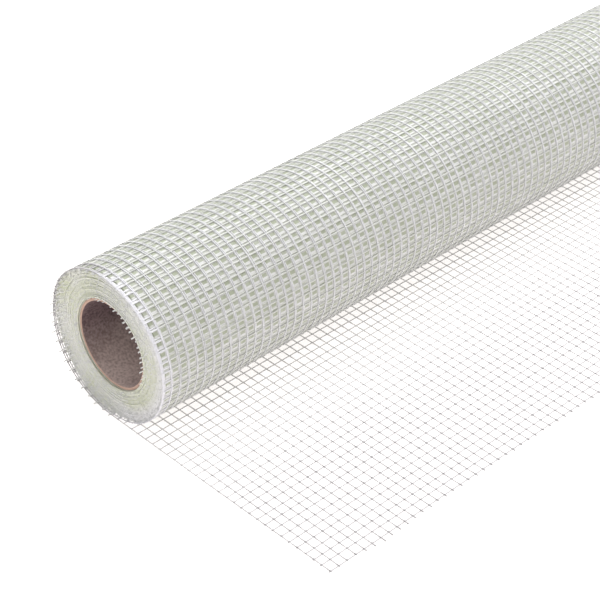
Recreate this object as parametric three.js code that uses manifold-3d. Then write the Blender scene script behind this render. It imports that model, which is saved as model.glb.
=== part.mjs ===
// A roll of fibreglass reinforcing mesh, wound on a cardboard core. It lies on the floor with
// its free end unrolled. Lengths are in millimetres, and +Z is up. The roll's axis is along X,
// and the free end lies on the floor towards -Y. The origin is on the floor, under the axis and
// half way along the outer turn. The mesh is one continuous strip, the web. Its threads are
// finer than this model goes, so the web is drawn as wound bulk and a sheet with a coarse grid.
import * as THREE from "three";
import { mergeVertices } from "three/addons/utils/BufferGeometryUtils.js";
import Module from "manifold-3d";

// The web, a strip of mesh.
const webWidth = 1000;
const webThickness = 0.5;
const looseEndLength = 147; // from under the axis to the tips of the cut threads
const cellsAcross = 12; // the free end's plain grid of openings, far coarser than the real mesh
const cellsAlong = 2;
const barWidth = 5; // between the openings and round them

// The core, a cardboard tube.
const coreBore = 43;
const coreWall = 1.5;
const coreLength = 1000;
const coreClearance = 0.3; // between the core and the first turn

// The wound turns.
const woundDepth = 15.2; // from the first turn to the last but one
const edgeDrift = 3; // how far the core and the inner turns lie towards +X of the outer turn
const bandCount = 8; // the turns' edges stand in bands, which show as rings on both ends
const bandStagger = 0.5; // every other band stands back by this much
const turnOverlap = 0.1; // how far the outer turn bites into the wound bulk, to be one solid

// The outer turn hangs loose low on the back of the roll.
const looseBulge = 1.5;
const looseCentre = 55; // degrees round from the floor, towards +Y
const looseHalfSpan = 45; // degrees

const segments = 72; // sides of every round surface

const coreOuterRadius = coreBore / 2 + coreWall;
const woundInnerRadius = coreOuterRadius + coreClearance;
const outerTurnInnerRadius = woundInnerRadius + woundDepth;
const rollRadius = outerTurnInnerRadius + webThickness;
const sideAngle = (2 * Math.PI) / segments;
const firstCorner = sideAngle / 2; // so that one side, not a corner, lies on the floor
const axisHeight = rollRadius * Math.cos(firstCorner);

const wasm = await Module();
wasm.setup();

function toSolid(geometry) {
  const bare = geometry.clone();
  bare.deleteAttribute("normal");
  bare.deleteAttribute("uv");
  const merged = mergeVertices(bare, 1e-4);
  return new wasm.Manifold(
    new wasm.Mesh({
      numProp: 3,
      vertProperties: merged.attributes.position.array,
      triVerts: new Uint32Array(merged.index.array),
    }),
  );
}

function toGeometry(solid) {
  const mesh = solid.getMesh();
  const geometry = new THREE.BufferGeometry();
  geometry.setAttribute("position", new THREE.BufferAttribute(mesh.vertProperties, 3));
  geometry.setIndex(new THREE.BufferAttribute(mesh.triVerts, 1));
  geometry.computeVertexNormals();
  return geometry;
}

// Turns a closed profile about the roll's axis. A profile point is (radius, place along X).
function turned(profile) {
  const geometry = new THREE.LatheGeometry(profile, segments, firstCorner, 2 * Math.PI);
  return geometry.rotateZ(-Math.PI / 2).translate(0, 0, axisHeight);
}

// The cardboard tube, cut square at both ends.
function coreTube() {
  const nearEnd = edgeDrift - coreLength / 2;
  const farEnd = edgeDrift + coreLength / 2;
  return turned([
    new THREE.Vector2(coreBore / 2, nearEnd),
    new THREE.Vector2(coreOuterRadius, nearEnd),
    new THREE.Vector2(coreOuterRadius, farEnd),
    new THREE.Vector2(coreBore / 2, farEnd),
    new THREE.Vector2(coreBore / 2, nearEnd),
  ]);
}

// All turns but the last, as one turned solid with a bore. The web is as wide at every turn, so
// a band that stands back at the near end stands out by as much at the far end.
function woundTurns() {
  const bandDepth = (woundDepth + turnOverlap) / bandCount;
  const nearEnd = [];
  const farEnd = [];
  for (let band = 0; band < bandCount; band++) {
    const drift = edgeDrift + (band % 2) * bandStagger;
    const inner = woundInnerRadius + band * bandDepth;
    const outer = inner + bandDepth;
    nearEnd.push(new THREE.Vector2(inner, drift - webWidth / 2));
    nearEnd.push(new THREE.Vector2(outer, drift - webWidth / 2));
    farEnd.push(new THREE.Vector2(inner, drift + webWidth / 2));
    farEnd.push(new THREE.Vector2(outer, drift + webWidth / 2));
  }
  return turned([...nearEnd, ...farEnd.reverse(), nearEnd[0]]);
}

// How far the outer turn hangs off the roll, at an angle round from the floor towards +Y.
function looseness(angle) {
  const share = (THREE.MathUtils.radToDeg(angle) - looseCentre) / looseHalfSpan;
  return Math.abs(share) < 1 ? looseBulge * Math.cos((share * Math.PI) / 2) ** 2 : 0;
}

// A closed outline round the axis, in the plane of the roll's end, as (y, height over the axis).
function outline(radius) {
  return Array.from({ length: segments }, (_, corner) => {
    const angle = firstCorner + corner * sideAngle;
    const reach = radius + looseness(angle);
    return new THREE.Vector2(reach * Math.sin(angle), -reach * Math.cos(angle));
  });
}

// The last turn, a sheet bent once round the roll.
function outerTurn() {
  const shape = new THREE.Shape(outline(rollRadius));
  shape.holes.push(new THREE.Path(outline(outerTurnInnerRadius)));
  const geometry = new THREE.ExtrudeGeometry(shape, { depth: webWidth, bevelEnabled: false });
  // The outline's own x and y become Y and Z, and the depth becomes X.
  const toRoll = new THREE.Matrix4().makeBasis(
    new THREE.Vector3(0, 1, 0),
    new THREE.Vector3(0, 0, 1),
    new THREE.Vector3(1, 0, 0),
  );
  return geometry.applyMatrix4(toRoll).translate(-webWidth / 2, 0, axisHeight);
}

// A flat block of the web's thickness that lies on the floor.
function slab(left, right, near, far) {
  const geometry = new THREE.BoxGeometry(right - left, far - near, webThickness);
  return toSolid(geometry.translate((left + right) / 2, (near + far) / 2, webThickness / 2));
}

// The free end, a sheet with a grid of openings. It runs on from the outer turn where it meets
// the floor, and no opening reaches under the axis.
function looseEnd() {
  const behindAxis = rollRadius * Math.sin(firstCorner);
  const cellWidth = (webWidth - barWidth) / cellsAcross;
  const cellLength = (looseEndLength - behindAxis - barWidth) / cellsAlong;
  const cells = [];
  for (let column = 0; column < cellsAcross; column++) {
    for (let row = 0; row < cellsAlong; row++) {
      const left = barWidth + column * cellWidth - webWidth / 2;
      const near = barWidth + row * cellLength - looseEndLength;
      cells.push(slab(left, left + cellWidth - barWidth, near, near + cellLength - barWidth));
    }
  }
  const sheet = slab(-webWidth / 2, webWidth / 2, -looseEndLength, behindAxis);
  return sheet.subtract(wasm.Manifold.union(cells));
}

function meshWeb() {
  const wound = toSolid(woundTurns());
  const lastTurn = toSolid(outerTurn());
  return toGeometry(wound.add(lastTurn).add(looseEnd()));
}

const cardboard = new THREE.MeshStandardMaterial({ color: 0xa08472, roughness: 0.9, metalness: 0 });
const coatedGlass = new THREE.MeshStandardMaterial({ color: 0xdde0d3, roughness: 0.45, metalness: 0 });

function named(name, geometry, material) {
  const mesh = new THREE.Mesh(geometry, material);
  mesh.name = name;
  return mesh;
}

const roll = new THREE.Group();
roll.add(named("core_tube", coreTube(), cardboard));
roll.add(named("mesh_web", meshWeb(), coatedGlass));

export default roll;
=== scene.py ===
import math

import bpy
import numpy as np
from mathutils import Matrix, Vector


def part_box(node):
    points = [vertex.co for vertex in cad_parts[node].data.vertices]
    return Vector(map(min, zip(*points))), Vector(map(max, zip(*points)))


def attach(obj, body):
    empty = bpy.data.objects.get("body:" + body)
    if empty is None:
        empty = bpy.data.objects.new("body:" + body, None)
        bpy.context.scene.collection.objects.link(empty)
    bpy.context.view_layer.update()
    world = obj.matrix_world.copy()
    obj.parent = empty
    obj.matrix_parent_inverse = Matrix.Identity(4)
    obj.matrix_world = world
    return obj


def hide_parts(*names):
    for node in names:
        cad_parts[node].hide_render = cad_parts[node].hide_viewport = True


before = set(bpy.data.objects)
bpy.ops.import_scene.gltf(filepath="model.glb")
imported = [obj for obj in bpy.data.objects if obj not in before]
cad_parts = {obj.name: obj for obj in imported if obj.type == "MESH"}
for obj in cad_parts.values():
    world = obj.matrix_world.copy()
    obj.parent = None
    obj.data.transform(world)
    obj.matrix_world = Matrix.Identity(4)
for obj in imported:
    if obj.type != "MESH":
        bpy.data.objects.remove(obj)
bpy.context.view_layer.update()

# Camera
# A long lens looks down along the roll from its near end. The photograph's own mesh, which lies
# flat and square on the floor, gave the lens, the place and the three turns.
SENSOR_WIDTH_MM, LENS_MM = 36, 120.8
CAMERA_PLACE = (-0.9349, -0.5857, 0.5826)
CAMERA_TILT, CAMERA_ROLL, CAMERA_HEADING = 54.432, 0.158, -43.568
SIGHT_LIMIT = 50
camera = bpy.data.objects.new("camera", bpy.data.cameras.new("camera"))
camera.data.sensor_width, camera.data.lens = SENSOR_WIDTH_MM, LENS_MM
camera.location = CAMERA_PLACE
camera.rotation_euler = [math.radians(a) for a in (CAMERA_TILT, CAMERA_ROLL, CAMERA_HEADING)]
camera.data.clip_end = SIGHT_LIMIT
bpy.context.collection.objects.link(camera)
bpy.context.scene.camera = camera


# Floor and light
# A white studio sweep that glows a little, so that it stays white under the mesh, in a plain
# light room. A wide lamp behind lights the top of the roll, one beyond the near end lights that
# end, and a low one in front lights its front.
class Link:
    """A shader socket. Python's signs for sums work on it, and each adds a Math node."""

    def __init__(self, tree, socket):
        self.tree, self.socket = tree, socket

    @staticmethod
    def node(tree, kind, settings=None, sockets=None, out=0):
        made = tree.nodes.new(kind)
        for name, value in (settings or {}).items():
            setattr(made, name, value)
        for name, value in (sockets or {}).items():
            if isinstance(value, Link):
                tree.links.new(value.socket, made.inputs[name])
            else:
                made.inputs[name].default_value = value
        return Link(tree, made.outputs[out])

    def combine(self, operation, *values):
        """A Math node on these values, in their order."""
        sockets = dict(enumerate(values))
        return Link.node(self.tree, "ShaderNodeMath", {"operation": operation}, sockets)

    def maths(self, operation, *others):
        """A Math node whose first value is this one."""
        return self.combine(operation, self, *others)

    def off_whole(self):
        """How far the value is from the nearest whole number."""
        return self.maths("PINGPONG", 0.5)

    def __add__(self, other):
        return self.combine("ADD", self, other)

    def __radd__(self, other):
        return self.combine("ADD", other, self)

    def __sub__(self, other):
        return self.combine("SUBTRACT", self, other)

    def __rsub__(self, other):
        return self.combine("SUBTRACT", other, self)

    def __mul__(self, other):
        return self.combine("MULTIPLY", self, other)

    def __rmul__(self, other):
        return self.combine("MULTIPLY", other, self)

    def __truediv__(self, other):
        return self.combine("DIVIDE", self, other)

    def __rtruediv__(self, other):
        return self.combine("DIVIDE", other, self)


class Finish:
    """A new material with one Principled shader, and what its patterns are made of."""

    def __init__(self, name, roughness=0.5, specular=0.5):
        self.material = bpy.data.materials.new(name)
        self.material.use_nodes = True
        self.tree = self.material.node_tree
        self.shader = self.tree.nodes["Principled BSDF"]
        self.shader.inputs["Roughness"].default_value = roughness
        self.shader.inputs["Specular IOR Level"].default_value = specular
        self.place = self.node("ShaderNodeTexCoord", out=3)

    def node(self, kind, settings=None, sockets=None, out=0):
        return Link.node(self.tree, kind, settings, sockets, out)

    def noise(self, scale, detail=3.0, place=None):
        sockets = {"Vector": place or self.place, "Scale": scale, "Detail": detail}
        return self.node("ShaderNodeTexNoise", sockets=sockets)

    def axis(self, name):
        return self.node("ShaderNodeSeparateXYZ", sockets={"Vector": self.place}, out=name)

    def ramp(self, value, low, high):
        """0 where value is low or less, 1 where it is high or more, and smooth between."""
        settings = {"interpolation_type": "SMOOTHSTEP"}
        sockets = {"Value": value, "From Min": low, "From Max": high}
        return self.node("ShaderNodeMapRange", settings, sockets)

    def mix(self, mask, low, high):
        """The colour low where mask is 0 and high where it is 1."""
        low, high = [end if isinstance(end, Link) else (*end, 1) for end in (low, high)]
        # A Mix node's sockets share their names, so its colours go by number.
        sockets = {0: mask, 6: low, 7: high}
        return self.node("ShaderNodeMix", {"data_type": "RGBA"}, sockets, out=2)

    def bump(self, height, distance, strength=0.5):
        sockets = {"Strength": strength, "Distance": distance, "Height": height}
        self.feed(Normal=self.node("ShaderNodeBump", sockets=sockets))

    def feed(self, **links):
        """Links values to the shader's sockets, whose names have _ for a space."""
        for name, value in links.items():
            self.tree.links.new(value.socket, self.shader.inputs[name.replace("_", " ")])


FLOOR_SIDE = 12.0
FLOOR_GLOW, GLOW_COLOUR = 0.63, (1.0, 0.975, 0.965)
ROOM_LIGHT = 0.38
WHITE = (1.0, 1.0, 1.0)
WARM_FLOOR, PALE_FLOOR = (0.82, 0.785, 0.77), (0.85, 0.815, 0.80)
FLOOR_CLOUDS = 3.0
bpy.ops.mesh.primitive_plane_add(size=FLOOR_SIDE)
floor = bpy.context.object
floor.name = "floor"
sweep = Finish("white_sweep", roughness=0.9, specular=0.1)
sweep.feed(Base_Color=sweep.mix(sweep.noise(FLOOR_CLOUDS), WARM_FLOOR, PALE_FLOOR))
sweep.shader.inputs["Emission Color"].default_value = (*GLOW_COLOUR, 1)
sweep.shader.inputs["Emission Strength"].default_value = FLOOR_GLOW
floor.data.materials.append(sweep.material)

world = bpy.data.worlds.new("white_room")
world.use_nodes = True
world.node_tree.nodes["Background"].inputs["Color"].default_value = (*WHITE, 1)
world.node_tree.nodes["Background"].inputs["Strength"].default_value = ROOM_LIGHT
bpy.context.scene.world = world


def soft_lamp(name, place, aim, side, watts, colour):
    """A square lamp with sides of that length, aimed at a point."""
    lamp = bpy.data.objects.new(name, bpy.data.lights.new(name, "AREA"))
    lamp.data.shape, lamp.data.size, lamp.data.energy = "SQUARE", side, watts
    lamp.data.color = colour
    lamp.location = place
    towards = [there - here for there, here in zip(aim, place)]
    lamp.rotation_euler = Vector(towards).to_track_quat("-Z", "Y").to_euler()
    bpy.context.collection.objects.link(lamp)


soft_lamp("back_lamp", (0.30, 0.40, 1.1), (-0.1, 0.0, 0.0), 1.8, 27.0, WHITE)
soft_lamp("near_lamp", (-1.5, -0.5, 1.1), (-0.5, 0.0, 0.03), 0.4, 5.0, (1.0, 1.0, 0.97))
soft_lamp("front_lamp", (0.65, -1.05, 0.58), (-0.25, 0.0, 0.03), 0.4, 1.8, (0.92, 0.90, 1.0))
bpy.context.scene.view_settings.view_transform = "Standard"


# Cardboard core
# A tube of grey-brown board, glued up from strips wound on a slant and cut square. The first
# turn of mesh lies on it. It replaces the CAD tube with the same sizes and a finer round.
MM = 0.001
core_low, core_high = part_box("core_tube")
AXIS_HEIGHT = (core_low.z + core_high.z) / 2
CORE_OUTER = 23.0 * MM
CORE_BORE = 21.5 * MM
CORE_SIDES = 144
RIM_ROUND = 0.3 * MM
# How far in along the tube and how far off its wall a rim's points lie, in rounds of the rim.
RIM_STEPS = ((4.0, 0.0), (1.0, 0.0), (0.3, 0.3), (0.0, 1.0))
RIM_TONE_FROM, RIM_TONE_FULL = 0.25 * MM, 0.1 * MM
SEAM_RISE = 0.11
SEAM_WIDTH = 0.008
PLY = 0.6 * MM
FIBRE_SCALE, BLOTCH_SCALE, SPECK_SCALE = 900.0, 60.0, 1600.0
# The board has painted shade high up in the bore, and painted light over this depth towards its
# bottom.
PAINTED_LIGHT_TOP, PAINTED_LIGHT_DEPTH = AXIS_HEIGHT + 4.0 * MM, 38.0 * MM
DARK_BOARD, DARK_BOARD_LIT = (0.09, 0.055, 0.06), (0.60, 0.46, 0.42)
LIGHT_BOARD, LIGHT_BOARD_LIT = (0.25, 0.175, 0.18), (1.0, 0.82, 0.76)
CUT_BOARD, CUT_BOARD_GLUE = (0.58, 0.40, 0.32), (0.16, 0.09, 0.08)
rng = np.random.default_rng(7)


def build(name, points, faces, material, slot):
    """A smooth mesh object from an array of points and an array of four-cornered faces."""
    mesh = bpy.data.meshes.new(name)
    faces = np.asarray(faces, np.int32)
    mesh.vertices.add(len(points))
    mesh.vertices.foreach_set("co", np.asarray(points, np.float32).ravel())
    mesh.loops.add(faces.size)
    mesh.loops.foreach_set("vertex_index", faces.ravel())
    mesh.polygons.add(len(faces))
    mesh.polygons.foreach_set("loop_start", np.arange(0, faces.size, 4, dtype=np.int32))
    mesh.polygons.foreach_set("use_smooth", np.ones(len(faces), bool))
    mesh.update(calc_edges=True)
    mesh.validate()
    mesh.materials.append(material)
    made = bpy.data.objects.new(name, mesh)
    bpy.context.collection.objects.link(made)
    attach(made, "root")
    return made


def turned(radii, places, sides):
    """Points and faces of a closed profile turned about the roll's axis."""
    angle = np.linspace(0, 2 * math.pi, sides, endpoint=False)[:, None]
    radius, along = np.broadcast_arrays(np.asarray(radii), np.asarray(places) + 0 * angle)
    y, z = radius * np.sin(angle), AXIS_HEIGHT - radius * np.cos(angle)
    points = np.stack([along, y, z], -1).reshape(-1, 3)
    row = np.arange(sides)[:, None] * len(radii)
    column = np.arange(len(radii))[None, :]
    next_row, next_column = (row + len(radii)) % (sides * len(radii)), (column + 1) % len(radii)
    corners = [row + column, next_row + column, next_row + next_column, row + next_column]
    return points, np.stack(corners, -1).reshape(-1, 4)


def core_profile():
    """Radii and places along X of the tube's wall, with both rims rounded."""
    r = RIM_ROUND
    near = [(CORE_BORE + rise * r, core_low.x + inset * r) for inset, rise in RIM_STEPS]
    near += [(CORE_OUTER - rise * r, core_low.x + inset * r) for inset, rise in RIM_STEPS[::-1]]
    far = [(radius, core_low.x + core_high.x - x) for radius, x in reversed(near)]
    return zip(*near, *far)


def about_axis(finish):
    """A finish's y, its depth under the roll's axis, and its distance from that axis."""
    y, under = finish.axis("Y"), AXIS_HEIGHT - finish.axis("Z")
    return y, under, (y * y + under * under).maths("SQRT")


board = Finish("grey_cardboard", roughness=0.85, specular=0.25)
fibres = board.noise(FIBRE_SCALE, 4.0)
blotches = board.noise(BLOTCH_SCALE)
specks = board.ramp(board.noise(SPECK_SCALE, 2.0), 0.60, 0.75)
board_y, board_under, wall = about_axis(board)
helix = board_y.maths("ARCTAN2", board_under) / (2 * math.pi) + board.axis("X") / SEAM_RISE
seam = 1.0 - board.ramp(helix.off_whole(), 0.0, SEAM_WIDTH)
mottle = board.ramp(fibres * 0.6 + blotches * 0.4, 0.35, 0.65) - specks * 0.25 - seam * 0.2
# Painted light low in the bore, where the light falls in, and painted shade above it.
painted_light_low = board.ramp(board.axis("Z"), PAINTED_LIGHT_TOP, PAINTED_LIGHT_TOP - PAINTED_LIGHT_DEPTH)
dark = board.mix(painted_light_low, DARK_BOARD, DARK_BOARD_LIT)
light = board.mix(painted_light_low, LIGHT_BOARD, LIGHT_BOARD_LIT)
plies = 1.0 - board.ramp((wall / PLY).off_whole(), 0.0, 0.2)
rim = board.mix(plies * 0.8, CUT_BOARD, CUT_BOARD_GLUE)
core_middle, half_core = (core_low.x + core_high.x) / 2, (core_high.x - core_low.x) / 2
off_middle = (board.axis("X") - core_middle).maths("ABSOLUTE")
on_rim = board.ramp(off_middle, half_core - RIM_TONE_FROM, half_core - RIM_TONE_FULL)
board.feed(Base_Color=board.mix(on_rim, board.mix(mottle, dark, light), rim))
board.bump(fibres - seam, 0.2 * MM, 0.3)
core_radii, core_places = core_profile()
core_shape = turned(core_radii, core_places, CORE_SIDES)
core = build("cardboard_core", *core_shape, board.material, "cardboard")
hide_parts("core_tube")


# Mesh web, the threads that show
# One strip of coated glass yarn. Each warp is two thin yarns that swap sides between the flat
# wefts and grip them, one above and one below. The strip lies flat, then goes twice round the
# roll here. The turns below that are the bulk's.
PITCH = 5.0 * MM
WARPS = 201
WEB_LEFT = -0.5
FREE_LENGTH = 28.9 * PITCH
TURN_PITCH = 0.30 * MM
SHOWN_TURNS = 2
YARN_WIDTH, YARN_THICKNESS = 0.52 * MM, 0.11 * MM
WEFT_WIDTH, WEFT_THICKNESS = 0.70 * MM, 0.12 * MM
PAIR_HALF_GAP = 0.06 * MM
HALF_WEB = WEFT_THICKNESS / 2 + YARN_THICKNESS + 0.02 * MM
FIRST_RADIUS = AXIS_HEIGHT - HALF_WEB
# The outer turn hangs loose low on the back, the second by a share of that, and no other does.
LOOSE_BULGE, LOOSE_CENTRE, LOOSE_HALF_SPAN = 1.6 * MM, 55.0, 50.0
LOOSE_SHARES = (1.0, 0.45, 0.0)
# The bulge takes up this much of the strip, over this length of it.
SLACK, SLACK_SPAN = 3.5 * MM, 70.0 * MM
# Turn by turn, the strip moves towards +X until it stands out by the drift.
EDGE_DRIFT, DRIFT_RATE = 3.0 * MM, 0.32
# How far the strip strays along X as it's wound: two waves, each with its size and its angle
# for each turn.
STRAY, QUICK_STRAY = (0.18 * MM, 5.2), (0.14 * MM, 9.1)
WEFT_POINTS = 41
# How unevenly the threads lie. Bows and wanders are the sizes of three waves in a thread.
WEFT_JITTER, WEFT_BOW, WARP_WANDER = 0.12 * MM, 0.18 * MM, 0.10 * MM
BOW_WAVE, WANDER_WAVE = 5.0, 9.0
WEFT_TIP = (0.3 * MM, 1.0 * MM)
# How far the warps reach past the last weft, from the first warp at the near corner on. They
# are shortest at the corner itself and longest a few warps from it.
TIP_WARPS = (3, 6, 10, 14)
WARP_TIP = (0.3 * MM, 3.0 * MM, 1.8 * MM, 1.2 * MM)
WARP_TIP_SPREAD = (-0.2 * MM, 0.4 * MM)


def turn_angle(s):
    """How far round the roll the strip has gone after a length s beyond the floor, in radians."""
    shrink = TURN_PITCH / math.pi
    taut = np.maximum(s, 0) - SLACK * np.clip(s / SLACK_SPAN, 0, 1)
    return (FIRST_RADIUS - np.sqrt(FIRST_RADIUS**2 - shrink * taut)) * 2 / shrink


def drift(turns):
    """How far the strip has wandered along X after some turns, in metres."""
    stray = STRAY[0] * np.sin(STRAY[1] * turns)
    stray = stray + QUICK_STRAY[0] * np.sin(QUICK_STRAY[1] * turns + 0.4)
    return EDGE_DRIFT * (1 - np.exp(-DRIFT_RATE * turns)) + stray * np.minimum(turns * 2, 1)


def strip_point(s, x, lift=0.0):
    """A point of the strip at length s and width x. Lift is towards the roll's axis."""
    s, x, lift = np.broadcast_arrays(s, x, lift)
    angle = turn_angle(s)
    turns = angle / (2 * math.pi)
    share = (np.degrees(angle) % 360 - LOOSE_CENTRE) / LOOSE_HALF_SPAN
    bulge = np.where(np.abs(share) < 1, np.cos(share * math.pi / 2) ** 2, 0) * LOOSE_BULGE
    bulge = bulge * np.array(LOOSE_SHARES)[np.minimum(turns.astype(int), SHOWN_TURNS)]
    radius = FIRST_RADIUS - TURN_PITCH * turns + bulge - lift
    y = np.where(s > 0, radius * np.sin(angle), np.minimum(s, 0))
    z = AXIS_HEIGHT - np.where(s > 0, radius * np.cos(angle), FIRST_RADIUS - lift)
    return np.stack([x + drift(turns), y, z], -1)


def ribbons(centre, width, thickness, across, up):
    """Four-cornered yarns along rows of points. Across and up are unit vectors at each point."""
    wide, high = across * width / 2, up * thickness / 2
    below, above = centre - high, centre + high
    corners = np.stack([below - wide, below + wide, above + wide, above - wide], 2)
    rows, steps = corners.shape[:2]
    first = np.arange(rows) * steps * 4
    last = first + (steps - 1) * 4
    start = first[:, None] + np.arange(steps - 1) * 4
    around = [(0, 1), (1, 2), (2, 3), (3, 0)]
    sides = [np.stack([start + a, start + b, start + b + 4, start + a + 4], -1) for a, b in around]
    first_cap = np.stack([first + corner for corner in (3, 2, 1, 0)], -1)
    last_cap = np.stack([last + corner for corner in (0, 1, 2, 3)], -1)
    faces = [side.reshape(-1, 4) for side in sides] + [first_cap, last_cap]
    return corners.reshape(-1, 3), np.concatenate(faces)


def joined(parts):
    """One list of points and one of faces from several."""
    offsets = np.cumsum([0] + [len(points) for points, _ in parts[:-1]])
    faces = [faces + offset for (_, faces), offset in zip(parts, offsets)]
    return np.concatenate([points for points, _ in parts]), np.concatenate(faces)


def coat_last(made, count, material):
    """Gives the last faces of a piece a second material."""
    made.data.materials.append(material)
    slots = np.zeros(len(made.data.polygons), np.int32)
    slots[-count:] = 1
    made.data.polygons.foreach_set("material_index", slots)


def unit(vectors):
    return vectors / np.linalg.norm(vectors, axis=-1, keepdims=True)


along_x = np.array([1.0, 0.0, 0.0])
warp_places = WEB_LEFT + PITCH * np.arange(WARPS)
wound_length = 2 * math.pi * (FIRST_RADIUS - SHOWN_TURNS * TURN_PITCH / 2) * SHOWN_TURNS
weft_count = int((FREE_LENGTH + wound_length) / PITCH)
weft_lengths = np.arange(weft_count) * PITCH - FREE_LENGTH
weft_jitter = rng.normal(0, WEFT_JITTER, weft_count)
weft_bow = rng.normal(0, WEFT_BOW, (weft_count, 3))
warp_wander = rng.normal(0, WARP_WANDER, (WARPS, 3))
weft_tips = rng.uniform(*WEFT_TIP, (weft_count, 2))
warp_tips = np.interp(np.arange(WARPS), TIP_WARPS, WARP_TIP)
warp_tips = warp_tips + rng.uniform(*WARP_TIP_SPREAD, WARPS)


def weft_place(k, x):
    """How far along the strip weft k lies where it crosses x."""
    bow = sum(weft_bow[k, n] * np.sin((n + 1) * BOW_WAVE * x + n + k) for n in range(3))
    return weft_lengths[k] + weft_jitter[k] + bow


def warp_place(j, s):
    """How far across the strip warp j lies where it crosses length s."""
    waves = [np.sin((n + 1) * WANDER_WAVE * s + 2 * n + j) for n in range(3)]
    wander = sum(warp_wander[j, n] * waves[n] for n in range(3))
    return warp_places[j] + wander


def mesh_stretch(name, first, last, warp_glass, weft_glass):
    """The strip's threads from weft first up to weft last, which starts the next stretch."""
    wefts = np.arange(first, last + 1)
    k, j = wefts[None, :], np.arange(WARPS)[:, None]
    s = weft_place(k, warp_places[j])
    x = warp_place(j, s)
    swap = np.where(k % 2 == 0, 1, -1) + 0 * j
    if first == 0:
        s = np.concatenate([s[:, :1] - warp_tips[:, None], s], 1)
        x, swap = np.concatenate([x[:, :1], x], 1), np.concatenate([swap[:, :1], swap], 1)
    up = unit(strip_point(s, x, HALF_WEB) - strip_point(s, x))
    lift = (WEFT_THICKNESS + YARN_THICKNESS) / 2
    parts = []
    for side in (1, -1):
        centre = strip_point(s, x + side * swap * PAIR_HALF_GAP, side * lift)
        parts.append(ribbons(centre, YARN_WIDTH, YARN_THICKNESS, along_x, up))
    own = wefts[:-1]
    x = np.linspace(warp_places[0], warp_places[-1], WEFT_POINTS)
    # A second point at each end keeps the shading even up to the cut tips.
    x = np.tile(np.concatenate([x[:1], x, x[-1:]]), (len(own), 1))
    x[:, 0] -= weft_tips[own, 0]
    x[:, -1] += weft_tips[own, 1]
    s = weft_place(own[:, None], x)
    up = unit(strip_point(s, x, HALF_WEB) - strip_point(s, x))
    parts.append(ribbons(strip_point(s, x), WEFT_WIDTH, WEFT_THICKNESS, np.cross(up, along_x), up))
    made = build(name, *joined(parts), warp_glass, "coated_glass_mesh")
    coat_last(made, len(parts[-1][1]), weft_glass)
    return made


YARN_STREAKS = 400.0
# The edges' tone begins and is full this far in from them, and turns to painted shade over this
# stretch of Y.
EDGE_TONE_FROM, EDGE_TONE_FULL = 6.5 * MM, 5.5 * MM
SHADE_FROM, SHADE_FULL = -8.0 * MM, 12.0 * MM
LIGHT_BY_ROLL_FROM, LIGHT_BY_ROLL_FULL = -0.10, -0.03
KNOT_SHADE_EDGE = (0.05, 0.14)
FRONT_EDGE_LIT, BACK_EDGE_SHADED = (0.90, 0.89, 0.95), (0.46, 0.44, 0.455)
LONE_LOW, LONE_HIGH = (0.60, 0.585, 0.595), (0.74, 0.725, 0.735)
LONE_KNOT_SHADE, LONE_LIT_BY_ROLL = (0.44, 0.425, 0.435), (0.95, 0.94, 0.945)
WARP_LOW, WARP_HIGH = (0.66, 0.66, 0.67), (0.82, 0.82, 0.84)
WEFT_LOW, WEFT_HIGH = (0.60, 0.61, 0.57), (0.74, 0.75, 0.71)


def yarn_glass(name, low, high):
    """Coated yarn streaked from low to high. The web's edges: painted light in front, painted shade
    behind.
    """
    glass = Finish(name, specular=0.35)
    streaks = glass.noise(YARN_STREAKS, 2.0)
    off_centre = glass.axis("X").maths("ABSOLUTE")
    by_edge = glass.ramp(off_centre, -WEB_LEFT - EDGE_TONE_FROM, -WEB_LEFT - EDGE_TONE_FULL)
    # Painted light on the web's edges in front, and painted shade on them behind.
    behind = glass.ramp(glass.axis("Y"), SHADE_FROM, SHADE_FULL)
    edge_light_and_shade = glass.mix(behind, FRONT_EDGE_LIT, BACK_EDGE_SHADED)
    colour = glass.mix(by_edge * 0.7, glass.mix(streaks, low, high), edge_light_and_shade)
    glass.feed(Base_Color=colour, Roughness=streaks * 0.2 + 0.25)
    return glass.material


# One layer alone is clearer than many. Its grey is painted shade, darkest at its knots; by the roll
# it has painted light.
lone = Finish("lone_glass_yarn", roughness=0.6, specular=0.1)
# Painted shade at the knots, where the yarns cross.
knot_shade = 1.0
for axis, start in (("X", WEB_LEFT), ("Y", -FREE_LENGTH)):
    cell = (lone.axis(axis) - start) / PITCH
    knot_shade = knot_shade * (1.0 - lone.ramp(cell.off_whole(), *KNOT_SHADE_EDGE))
plain = lone.mix(lone.noise(YARN_STREAKS, 2.0), LONE_LOW, LONE_HIGH)
with_knot_shade = lone.mix(knot_shade, plain, LONE_KNOT_SHADE)
# Painted light by the roll, where the roll shades the threads.
painted_light_by_roll = lone.ramp(lone.axis("Y"), LIGHT_BY_ROLL_FROM, LIGHT_BY_ROLL_FULL)
lone.feed(Base_Color=lone.mix(painted_light_by_roll * 0.85, with_knot_shade, LONE_LIT_BY_ROLL))
warp_glass = yarn_glass("wound_warp_yarn", WARP_LOW, WARP_HIGH)
weft_glass = yarn_glass("wound_weft_yarn", WEFT_LOW, WEFT_HIGH)

foot = int(FREE_LENGTH / PITCH) + 1
per_turn = (weft_count - 1 - foot) // SHOWN_TURNS
free_end = mesh_stretch("free_end", 0, foot, lone.material, lone.material)
for turn, name in enumerate(("outer_turn", "second_turn")):
    start = foot + turn * per_turn
    mesh_stretch(name, start, start + per_turn, warp_glass, weft_glass)


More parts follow.
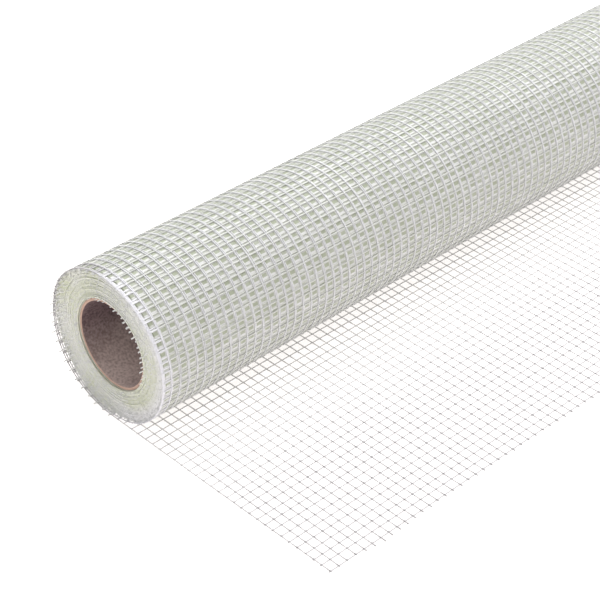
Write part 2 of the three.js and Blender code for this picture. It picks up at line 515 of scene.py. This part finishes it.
# Wound bulk
# The turns under those that show, pressed together into one greenish white mass. Their warps
# lie over each other in bands. It replaces the CAD web together with the threads above.
BULK_OUTER = FIRST_RADIUS - 0.40 * MM
BULK_INNER = CORE_OUTER + 0.2 * MM
BULK_SIDES = 180
RING_STEP = 0.3 * MM
INNER_PITCH = 0.29 * MM
FIRST_TURNS_OUT = 0.5 * MM
# The bulk's ends lie this far in under the edge yarns.
END_SINK = 0.5 * MM
# The bands lie to one side of the outer turn's warps. The lines are spaced as the wefts are at
# this angle round the roll, in degrees, and shifted from them by this many radians.
BAND_DRIFT = 0.9 * MM
FACE_ANGLE = 235.0
ROW_SHIFT = 0.100
STREAKS_ACROSS, STREAKS_ROUND = 1400.0, 1.5
BLOTCHES = 170.0
# The ends' tone begins and is full this far in from their faces, and from the bulk's outside.
END_TONE_FROM, END_TONE_FULL = 1.2 * MM, 1.0 * MM
OUTSIDE_FROM, OUTSIDE_FULL = 0.2 * MM, 0.4 * MM
# The bulk's warps make bands and its wefts lines. Each fades from its middle to half a cell off.
BAND_EDGE, LINE_EDGE, UNDER_LINE_EDGE = (0.15, 0.27), (0.07, 0.15), (0.29, 0.37)
# The ends' ripples over the radius: each wave's size and its angle for each metre.
RIPPLE, QUICK_RIPPLE = (0.16 * MM, 3300.0), (0.10 * MM, 9100.0)
# The holes' green is the glass's own; their darkness is painted shade of the deeper turns.
HOLE_GREEN_SHADED, BAND_WHITE = (0.41, 0.44, 0.33), (0.76, 0.76, 0.75)
END_GREEN, END_WHITE = (0.66, 0.68, 0.50), (0.86, 0.86, 0.84)
RINGS_PER_METRE = 700.0
CLOUDS = 55.0

bulk = Finish("wound_glass", roughness=0.5, specular=0.5)
bulk_x = bulk.axis("X")
bulk_y, bulk_under, bulk_radius = about_axis(bulk)
round_roll = (0.0 - bulk_y).maths("ARCTAN2", 0.0 - bulk_under)
# Fine streaks that run round the roll, along its warps.
streak_place = {"X": bulk_x * STREAKS_ACROSS, "Y": round_roll * STREAKS_ROUND}
streaks = bulk.noise(1.0, 2.0, bulk.node("ShaderNodeCombineXYZ", sockets=streak_place))
across = (bulk_x - (WEB_LEFT + BAND_DRIFT)) / PITCH
bands = 1.0 - bulk.ramp(across.off_whole(), *BAND_EDGE)
weft_angle = turn_angle(weft_lengths)
facing = int(np.argmin(np.abs(weft_angle - math.radians(FACE_ANGLE))))
weft_step = weft_angle[facing + 1] - weft_angle[facing]
rows = (round_roll + (math.pi - weft_angle[facing] - ROW_SHIFT)) / weft_step
between = rows.off_whole()
gap_line = 1.0 - bulk.ramp(between, *LINE_EDGE)
lines = 1.0 - bulk.ramp(between, *UNDER_LINE_EDGE) - gap_line * 0.6
threads = (bands * (streaks * 0.4 + 0.75)).maths("MAXIMUM", lines * 0.9)
threads = threads + bulk.ramp(bulk.noise(BLOTCHES, 2.0), 0.35, 0.65) * 0.4 - 0.2
face_colour = bulk.mix(threads, HOLE_GREEN_SHADED, BAND_WHITE)
clouds = bulk.noise(CLOUDS)
ring_place = {"X": bulk_radius * RINGS_PER_METRE + clouds}
rings = bulk.noise(1.0, 2.0, bulk.node("ShaderNodeCombineXYZ", sockets=ring_place))
end_colour = bulk.mix(rings * 0.6 + clouds * 0.6 - 0.1, END_GREEN, END_WHITE)
off_middle = (bulk_x - EDGE_DRIFT).maths("ABSOLUTE")
on_end = bulk.ramp(off_middle, -WEB_LEFT - END_TONE_FROM, -WEB_LEFT - END_TONE_FULL)
inside = bulk.ramp(bulk_radius, BULK_OUTER - OUTSIDE_FROM, BULK_OUTER - OUTSIDE_FULL)
on_end = on_end * inside
bulk.feed(Base_Color=bulk.mix(on_end, face_colour, end_colour), Roughness=clouds * 0.1 + 0.45)
bulk.bump(threads * (1.0 - on_end), 0.1 * MM, 0.2)

radii = np.arange(BULK_INNER, BULK_OUTER, RING_STEP)
ripple = RIPPLE[0] * np.sin(radii * RIPPLE[1])
ripple = ripple + QUICK_RIPPLE[0] * np.sin(radii * QUICK_RIPPLE[1] + 1.0)
ripple = ripple - FIRST_TURNS_OUT * np.clip((BULK_INNER + 1.2 * MM - radii) / (0.5 * MM), 0, 1)
ripple = ripple + drift(SHOWN_TURNS + (BULK_OUTER - radii) / INNER_PITCH)
left, right = WEB_LEFT + END_SINK + ripple, -WEB_LEFT - END_SINK + ripple
# A second point in from each rim keeps the long face's shading even.
profile_radii = np.concatenate([radii, radii[[-1, -1]], radii[::-1]])
profile_places = np.concatenate([left, [left[-1] + MM, right[-1] - MM], right[::-1]])
bulk_shape = turned(profile_radii, profile_places, BULK_SIDES)
wound_bulk = build("wound_bulk", *bulk_shape, bulk.material, "coated_glass_mesh")
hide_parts("mesh_web")
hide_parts("mesh_web")


# Edges of the inner turns
# On both ends each inner turn shows its edge warp, and past it the cut ends of the wefts. They
# stand out unevenly, because the strip wandered a little as it was wound.
EDGE_STEPS = 90
EDGE_WIDTH = YARN_WIDTH * 1.3
EDGE_GREEN, EDGE_PALE = (0.68, 0.71, 0.53), (0.86, 0.86, 0.83)
FRONT_LIT_WHITE, EDGE_FLECK = (0.93, 0.92, 0.96), (0.62, 0.63, 0.56)
CUT_END_WHITE = (0.80, 0.80, 0.79)
TURN_WANDER = 0.22 * MM
SWAY, SWAY_WAVE = 0.12 * MM, 6.7
# The cut ends stand out by a length in this range. In the outer turns they reach farther, most
# of all behind the roll, and in the innermost turns by up to a third length.
CUT_END_REACH = (0.2 * MM, 1.2 * MM)
OPEN_REACH, OPEN_TURNS = 3.6 * MM, 4.0
INNERMOST_REACH, INNERMOST_TURNS = 1.8 * MM, 3
# Their other ends lie this far in from the edge.
CUT_END_ROOT = 3.5 * MM
# The edges have painted light in the outer turns, over these radii, and in front, over this stretch
# of Y.
LIT_RADII, LIT_FRONT = (29.0 * MM, 36.0 * MM), (10.0 * MM, -10.0 * MM)
FLECKS = 900.0

edge = Finish("wound_edge_yarn", roughness=0.35, specular=0.6)
edge_y, _, edge_radius = about_axis(edge)
# Painted light on the edges in front, in the outer turns.
painted_light_side = edge.ramp(edge_radius, *LIT_RADII) * edge.ramp(edge_y, *LIT_FRONT)
ring_place = {"X": edge_radius * RINGS_PER_METRE}
ring_tint = edge.noise(1.0, 2.0, edge.node("ShaderNodeCombineXYZ", sockets=ring_place))
tint = edge.ramp(edge.noise(CLOUDS) * 0.6 + ring_tint * 0.4, 0.35, 0.65)
green = edge.mix(tint, EDGE_GREEN, EDGE_PALE)
pale = edge.mix(painted_light_side, green, FRONT_LIT_WHITE)
edge.feed(Base_Color=edge.mix(edge.noise(FLECKS, 2.0) * 0.5, pale, EDGE_FLECK))
cut_ends = Finish("cut_weft_ends", roughness=0.4)
cut_ends.shader.inputs["Base Color"].default_value = (*CUT_END_WHITE, 1)
inner_turns = int((BULK_OUTER - BULK_INNER) / INNER_PITCH)
turn_wander = np.convolve(rng.normal(0, TURN_WANDER, inner_turns + 4), np.ones(3) / 3, "valid")


def edge_windings(name, side):
    """The edge warp and weft ends on one end. Side is -1 at the near end and 1 at the far end."""

    def edge_point(turn, reach):
        """A point of the edge after so many inner turns, as far past it as reach."""
        sway = np.interp(turn, np.arange(len(turn_wander)), turn_wander)
        sway = sway + SWAY * np.sin(SWAY_WAVE * turn)
        left_out = FIRST_TURNS_OUT * np.clip((turn - inner_turns + 4) / 1.5, 0, 1)
        x = side * -WEB_LEFT + drift(SHOWN_TURNS + turn) + sway - left_out + side * reach
        radius = BULK_OUTER - INNER_PITCH * turn
        angle = 2 * math.pi * turn
        return np.stack([x, radius * np.sin(angle), AXIS_HEIGHT - radius * np.cos(angle)], -1)

    def outward(turn):
        """The direction away from the roll's axis after so many inner turns."""
        angle = 2 * math.pi * turn
        return np.stack([0 * angle, np.sin(angle), -np.cos(angle)], -1)

    turn = np.linspace(0, inner_turns, inner_turns * EDGE_STEPS + 1)[None, :]
    parts = [ribbons(edge_point(turn, 0.0), EDGE_WIDTH, INNER_PITCH, along_x, outward(turn))]
    turn = [0.0]
    while turn[-1] < inner_turns - 0.2:
        turn.append(turn[-1] + PITCH / (2 * math.pi * (BULK_OUTER - INNER_PITCH * turn[-1])))
    turn = np.repeat(np.array(turn[:-1])[:, None], 2, 1)
    behind = 0.6 + 0.4 * np.sin(2 * math.pi * turn)
    reach = rng.uniform(*CUT_END_REACH, turn.shape)
    reach = reach + behind * OPEN_REACH * np.exp(turn / -OPEN_TURNS)
    innermost = turn > inner_turns - INNERMOST_TURNS
    reach = reach + rng.uniform(0, INNERMOST_REACH, turn.shape) * innermost
    reach[:, 0] = -CUT_END_ROOT
    up = outward(turn)
    weft_ends = edge_point(turn, reach)
    parts.append(ribbons(weft_ends, WEFT_WIDTH, WEFT_THICKNESS, np.cross(up, along_x), up))
    made = build(name, *joined(parts), edge.material, "coated_glass_mesh")
    coat_last(made, len(parts[-1][1]), cut_ends.material)


edge_windings("near_turn_edges", -1)
edge_windings("far_turn_edges", 1)
